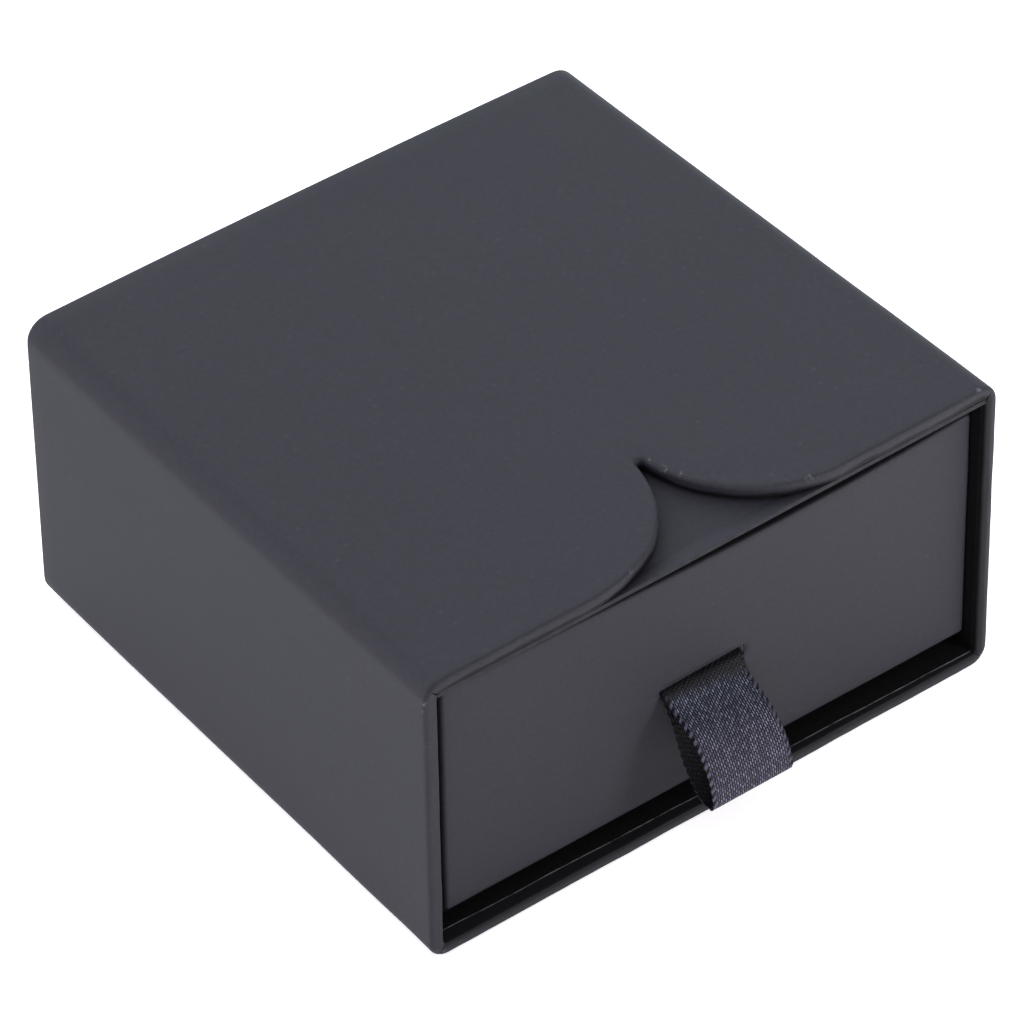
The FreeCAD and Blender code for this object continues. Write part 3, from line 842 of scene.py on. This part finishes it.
def tray_columns():
    """Columns round the tray, from the middle of the back, anticlockwise from above. Each has the centre of
    its fold, its outward direction and, at a corner, the signs of the way inwards."""
    x0, x1 = TRAY_X - TRAY_HALF + NOSE, TRAY_X + TRAY_HALF - NOSE
    y0, y1 = TRAY_FRONT + NOSE, TRAY_BACK - NOSE
    slot_left, slot_right = SLOT_X - SLOT_HALF_WIDTH, SLOT_X + SLOT_HALF_WIDTH
    front_x = np.concatenate([np.linspace(x0, slot_left, 34), np.linspace(slot_left, slot_right, 18)[1:],
                              np.linspace(slot_right, x1, 36)[1:]])
    back_x = np.linspace(x1, x0, 40)
    side_y = np.linspace(y0, y1, 40)

    def side(points, normal):
        return [(point, normal, None) for point in points]

    def corner(x, y, start, inward):
        angles = np.radians(np.linspace(start, start + 90, 7)[1:-1])
        return [((x, y), (math.cos(angle), math.sin(angle)), inward) for angle in angles]

    columns = side([(x, y1) for x in back_x[20:]], (0, 1))
    columns += corner(x0, y1, 90, (1, -1))
    columns += side([(x0, y) for y in side_y[::-1]], (-1, 0))
    columns += corner(x0, y0, 180, (1, 1))
    columns += side([(x, y0) for x in front_x], (0, -1))
    columns += corner(x1, y0, 270, (-1, 1))
    columns += side([(x1, y) for y in side_y], (1, 0))
    columns += corner(x1, y1, 0, (-1, -1))
    columns += side([(x, y1) for x in back_x[:21]], (0, 1))
    return columns


def tray_rows():
    """Inset from the outer face and height of each row, from the turned edge below to the one inside."""
    quarter = np.radians((22, 45, 67, 90))
    rim_quarter = np.radians((18, 36, 54, 72, 90))
    slot_low, slot_high = SLOT_Z - SLOT_HALF_HEIGHT, SLOT_Z + SLOT_HALF_HEIGHT
    rows = [(inset, TRAY_UNDER) for inset in (TURN_UNDER, 3.0, NOSE)]
    rows += [(NOSE * (1 - math.sin(t)), TRAY_UNDER + NOSE * (1 - math.cos(t))) for t in quarter]
    heights = np.concatenate([np.linspace(TRAY_UNDER + NOSE, slot_low, 20)[1:], [SLOT_Z, slot_high],
                              np.linspace(slot_high, TRAY_TOP - NOSE, 22)[1:]])
    rows += [(0.0, height) for height in heights]
    rows += [(NOSE * (1 - math.cos(t)), TRAY_TOP - NOSE * (1 - math.sin(t))) for t in rim_quarter]
    rows += [(WALL / 2, TRAY_TOP), (WALL - NOSE, TRAY_TOP)]
    rows += [(WALL - NOSE * (1 - math.sin(t)), TRAY_TOP - NOSE * (1 - math.cos(t))) for t in quarter]
    rows += [(WALL, TRAY_TOP - depth) for depth in (1.5, 4.0, TURN_INSIDE)]
    return rows


def tray_point(column, inset):
    """A column's place at an inset from the outer face: round the fold, then along the mitre inwards."""
    (x, y), (out_x, out_y), inward = column
    reach, deep = max(NOSE - inset, 0.0), max(inset - NOSE, 0.0)
    if inward:
        return x + out_x * reach + inward[0] * deep, y + out_y * reach + inward[1] * deep
    place_x, place_y = x + out_x * (reach - deep), y + out_y * (reach - deep)
    if out_x == 0:
        to_corner = TRAY_HALF - NOSE - abs(x - TRAY_X)
        place_x -= math.copysign(max(0.0, deep - to_corner), x - TRAY_X)
    else:
        to_corner = min(y - TRAY_FRONT, TRAY_BACK - y) - NOSE
        place_y += math.copysign(max(0.0, deep - to_corner), -y)
    return place_x, place_y


def rim_sag(points):
    """How far the front's rim lies above its straight line: it sags towards the middle."""
    height = np.interp(points[:, 0], RIM_SAG_X, RIM_SAG)
    return height * ramp_up(points[:, 2], TRAY_TOP - RIM_SAG_DEPTH, RIM_SAG_GROWTH)


def slot_askew(points):
    """The slot's upper edge is cut slightly askew: its right end is higher."""
    x, y, z = points.T
    share = np.interp(x, [SLOT_X - SLOT_HALF_WIDTH, SLOT_X + SLOT_HALF_WIDTH, SLOT_X + SLOT_ASKEW_END],
                      [0.0, 1.0, 0.0])
    above = z - SLOT_Z - SLOT_HALF_HEIGHT
    lift = SLOT_ASKEW * share * np.exp(-np.clip(above, 0, None) / SLOT_ASKEW_FADE)
    return lift * (z > SLOT_Z + 0.5) * (z < TRAY_TOP - SLOT_ASKEW_DEPTH) * (y < TRAY_FRONT + FRONT_ZONE)


def fit_front_board():
    """The front board follows the sagging rim and the slot's upper edge."""
    mesh = copies["drawer_front_board"].data
    split_mesh(mesh, [*np.arange(-40.0, 42.0, 2.0), SLOT_X + SLOT_ASKEW_END], (1, 0, 0))
    points = read_points(mesh)
    points[:, 2] += rim_sag(points) + slot_askew(points)
    write_points(mesh, points)


def in_slot(point):
    x, y, z = point
    return abs(x - SLOT_X) < SLOT_HALF_WIDTH and abs(z - SLOT_Z) < SLOT_HALF_HEIGHT and y < TRAY_FRONT + 0.5


def build_drawer_paper():
    """One paper round the tray, turned in below and over the rim, and cut out at the slot."""
    columns, rows = tray_columns(), tray_rows()
    verts = np.array([(*tray_point(column, inset), height) for inset, height in rows for column in columns])
    out = np.array([(*column[1], 0.0) for _ in rows for column in columns])
    inset = np.repeat([inset for inset, _ in rows], len(columns))
    verts += out * (waviness(verts, DRAWER_WAVES, 51) * (inset < 0.3))[:, None]
    is_front = verts[:, 1] < TRAY_FRONT + FRONT_ZONE
    verts[:, 2] += rim_sag(verts) * is_front
    faces = [face for face in grid_faces(len(rows), len(columns)) if not in_slot(verts[face].mean(0))]
    verts[:, 2] += slot_askew(verts)
    height = verts[:, 2]
    # Painted shade on the front's rim, under the sleeve's top
    shade = RIM_SHADE * ramp_up(inset, 0.12, 0.3) * (height > TRAY_TOP - 2.0) * is_front
    wear = RIM_WEAR * ((inset > 0.05) & (inset < WALL) & (height > TRAY_TOP - 0.7))
    obj = add_mesh("drawer_paper", verts, faces, [WRAP], "drawer", wear=wear, shade=shade)
    finish_paper(obj, "drawer_wrap")


# The ribbon

# The loop's front strand at the ribbon's left and right edges, and the back strand below it, as distance in
# front of the drawer's face and height
LOOP_LEFT = [(-0.8, 21.95), (0.1, 21.75), (1.1, 21.1), (2.2, 20.35), (3.2, 19.85), (4.5, 19.3), (5.8, 18.65),
             (6.9, 17.8), (7.9, 16.6), (8.7, 15.4), (9.4, 14.2), (9.95, 12.7), (10.3, 11.2), (10.42, 10.2)]
LOOP_RIGHT = [(-0.8, 21.6), (0.0, 21.3), (0.55, 20.6), (1.2, 19.75), (2.2, 19.0), (3.5, 18.3), (4.7, 17.65),
              (6.0, 16.95), (7.0, 16.2), (8.0, 15.2), (8.9, 13.95), (9.6, 12.6), (10.05, 11.2), (10.2, 10.1)]
BACK_STRAND = [(10.05, 9.62), (9.3, 9.45), (8.3, 9.6), (7.2, 10.15), (6.2, 11.1), (5.2, 12.4), (4.2, 13.9),
               (3.3, 15.9), (2.4, 17.9), (1.5, 19.3), (0.7, 20.4), (0.1, 21.15), (-0.5, 21.5)]
# The hidden tails behind the front board: one goes up, the other down
TAIL_UP = [(-1.95, 28.3), (-1.95, 25.5), (-1.97, 23.0), (-1.9, 22.2), (-1.6, 21.98)]
TAIL_DOWN = [(-1.6, 21.45), (-1.9, 21.2), (-1.97, 20.0), (-1.95, 16.0), (-1.95, 12.6)]
RIBBON_ROWS, RIBBON_COLUMNS = 520, 105
RIBBON_THICKNESS = 0.22
SELVEDGE = 0.75
# Beads of the selvedge: their spacing, how far they stand out of the ribbon and beside it, and the phase of
# the right edge's against the left one's, in radians
BEAD_LENGTH, BEAD_HEIGHT, BEAD_REACH, BEAD_PHASE = 1.15, 0.045, 0.05, 1.7
# Lengths at the ribbon's two ends without beads
PLAIN_START, PLAIN_END = 8.0, 11.0
# Painted shadow close to the slot and behind the fold
SLOT_DARK, BEHIND_DARK = 0.95, 0.93


def smooth_curve(points, count):
    """Points at even steps along a Catmull-Rom curve, and the curve's length."""
    points = np.array(points)
    points = np.vstack([2 * points[0] - points[1], points, 2 * points[-1] - points[-2]])
    fine = []
    t = np.linspace(0, 1, 24, endpoint=False)[:, None]
    for a, b, c, d in zip(points, points[1:], points[2:], points[3:]):
        square = (2 * a - 5 * b + 4 * c - d) * t ** 2
        cube = (3 * b - a - 3 * c + d) * t ** 3
        fine.append(0.5 * (2 * b + (c - a) * t + square + cube))
    fine = np.vstack(fine + [points[-2:-1]])
    travel = np.concatenate([[0], np.cumsum(np.linalg.norm(np.diff(fine, axis=0), axis=1))])
    steps = np.linspace(0, travel[-1], count)
    return np.stack([np.interp(steps, travel, fine[:, axis]) for axis in range(2)], 1), travel[-1]


def build_ribbon():
    """One ribbon, folded to a loop. Its two edges follow their own curves, with a beaded selvedge on each."""
    left, length = smooth_curve(TAIL_UP + LOOP_LEFT + BACK_STRAND + TAIL_DOWN, RIBBON_ROWS)
    right, _ = smooth_curve(TAIL_UP + LOOP_RIGHT + BACK_STRAND + TAIL_DOWN, RIBBON_ROWS)
    along = np.linspace(0, length, RIBBON_ROWS)[:, None]
    across = np.linspace(0, 1, RIBBON_COLUMNS)[None, :]
    middle = left[:, None] * (1 - across[..., None]) + right[:, None] * across[..., None]
    ahead = unit(np.gradient(middle, axis=0))
    normal = np.stack([-ahead[..., 1], ahead[..., 0]], -1)

    outer = np.clip(1 - np.minimum(across, 1 - across) * RIBBON_WIDTH / SELVEDGE, 0, 1)
    side = np.where(across < 0.5, -1.0, 1.0)
    beads = np.sin(2 * math.pi * along / BEAD_LENGTH + np.where(side < 0, 0.0, BEAD_PHASE))
    beads = beads * np.clip(np.minimum(along - PLAIN_START, length - PLAIN_END - along), 0, 1)
    lift = BEAD_HEIGHT * beads * np.clip(outer * 2.2, 0, 1)
    place = middle + normal * lift[..., None]
    x = SLOT_X + (across - 0.5) * RIBBON_WIDTH + side * outer ** 3 * BEAD_REACH * beads
    verts = np.stack([x, TRAY_FRONT - place[..., 0], place[..., 1]], -1).reshape(-1, 3)

    uv = np.stack(np.broadcast_arrays(across * RIBBON_WIDTH, along), -1).reshape(-1, 2)
    edge = np.broadcast_to(np.clip(outer * 4 - 0.8, 0, 1), beads.shape)
    # The strand behind the fold, and what lies near the slot, gets painted shadow
    deep = SLOT_DARK * np.clip(1.35 - place[..., 0] / (1.0 + 0.9 * across), 0, 1)
    # The fold is the lowest row, where the tails behind the board don't count
    fold_row = int(np.argmin(np.where(left[:, 0] > 0, left[:, 1], np.inf)))
    deep[fold_row:] = np.maximum(deep[fold_row:], BEHIND_DARK)

    obj = add_mesh("ribbon", verts, grid_faces(RIBBON_ROWS, RIBBON_COLUMNS), [SATIN], "drawer", uv=uv,
                   edge=edge.ravel(), deep=deep.ravel())
    thicken(obj, RIBBON_THICKNESS, offset=0.0)
    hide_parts("ribbon_pull")


let_back_bulge()
build_card()
build_floor_lining()
build_sleeve_paper()
build_drawer_paper()
fit_front_board()
build_ribbon()
for piece, body in shown:
    settle(piece, body)


# Floor, light and camera

FLOOR_HALF = 3.0
FLOOR_GLOW = 0.45
# Just under the box, so that the floor and the base paper don't coincide
FLOOR_LEVEL = -0.00002
# Light that comes from each side of the surround, as linear colours, and what comes from everywhere
SURROUND = [((0, 0, 1), (0.80, 0.80, 0.80)), ((-1, 0, 0), (1.19, 0.98, 1.15)),
            ((0, 1, 0), (2.68, 3.00, 3.27)), ((0, -1, 0), (0.15, 0.15, 0.15)),
            ((1, 0, 0), (0.05, 0.05, 0.05))]
AMBIENT = (0.01, 0.01, 0.01)
SOFTBOX_PLACE, SOFTBOX_TARGET = Vector((0.13, -0.26, 0.10)), Vector((0.02, -0.03, 0.02))
SOFTBOX_SIZE, SOFTBOX_POWER = 0.09, 0.54
# The photo's view: angles in degrees, the rest in millimetres
CAMERA_AZIMUTH, CAMERA_ELEVATION, CAMERA_ROLL = -36.714, 41.531, -0.986
CAMERA_TARGET = Vector((2.104, 1.7, 17.424))
CAMERA_DISTANCE = 912.91
CAMERA_LENS, CAMERA_SENSOR = 251.152, 36.0


def make_floor():
    paint = Shader("white floor", gray(0.93), 0.9, specular=0.1)
    paint.set("Emission Color", (1, 1, 1, 1))
    paint.set("Emission Strength", FLOOR_GLOW)
    corners = [(x * FLOOR_HALF, y * FLOOR_HALF, FLOOR_LEVEL) for x, y in ((-1, -1), (1, -1), (1, 1), (-1, 1))]
    mesh = bpy.data.meshes.new("floor")
    mesh.from_pydata(corners, [], [(0, 1, 2, 3)])
    mesh.materials.append(paint.material)
    obj = bpy.data.objects.new("floor", mesh)
    bpy.context.scene.collection.objects.link(obj)


def make_surround():
    """A white studio, brightest behind the box and on its left."""
    world = bpy.data.worlds.new("white surround")
    bpy.context.scene.world = world
    world.use_nodes = True
    nodes, links = world.node_tree.nodes, world.node_tree.links
    directions = nodes.new("ShaderNodeTexCoord").outputs["Generated"]
    total = None
    for direction, color in SURROUND:
        facing = nodes.new("ShaderNodeVectorMath")
        facing.operation = "DOT_PRODUCT"
        facing.inputs[1].default_value = direction
        links.new(directions, facing.inputs[0])
        share = nodes.new("ShaderNodeMath")
        share.operation = "MAXIMUM"
        share.inputs[1].default_value = 0.0
        links.new(facing.outputs["Value"], share.inputs[0])
        add = nodes.new("ShaderNodeVectorMath")
        add.operation = "MULTIPLY_ADD"
        links.new(share.outputs[0], add.inputs[0])
        add.inputs[1].default_value = color
        add.inputs[2].default_value = AMBIENT
        if total:
            links.new(total, add.inputs[2])
        total = add.outputs[0]
    background = nodes["Background"]
    background.inputs["Strength"].default_value = 1.0
    links.new(total, background.inputs["Color"])
    bpy.context.scene.view_settings.view_transform = "Standard"


def make_softbox():
    data = bpy.data.lights.new("right softbox", "AREA")
    data.energy = SOFTBOX_POWER
    data.size = SOFTBOX_SIZE
    obj = bpy.data.objects.new("right softbox", data)
    obj.location = SOFTBOX_PLACE
    obj.rotation_euler = (SOFTBOX_TARGET - SOFTBOX_PLACE).to_track_quat("-Z", "Y").to_euler()
    bpy.context.scene.collection.objects.link(obj)


def make_camera():
    azimuth, elevation, roll = (math.radians(v) for v in (CAMERA_AZIMUTH, CAMERA_ELEVATION, CAMERA_ROLL))
    level = math.cos(elevation)
    back = Vector((math.sin(azimuth) * level, -math.cos(azimuth) * level, math.sin(elevation)))
    right = (-back).cross(Vector((0, 0, 1))).normalized()
    up = right.cross(-back)
    cosine, sine = math.cos(roll), math.sin(roll)
    right, up = cosine * right + sine * up, cosine * up - sine * right
    data = bpy.data.cameras.new("camera")
    data.sensor_width = CAMERA_SENSOR
    data.lens = CAMERA_LENS
    data.clip_start = 0.01
    obj = bpy.data.objects.new("camera", data)
    place = CAMERA_TARGET * MM + back * (CAMERA_DISTANCE * MM)
    obj.matrix_world = Matrix.Translation(place) @ Matrix((right, up, back)).transposed().to_4x4()
    bpy.context.scene.collection.objects.link(obj)
    bpy.context.scene.camera = obj


make_floor()
make_surround()
make_softbox()
make_camera()
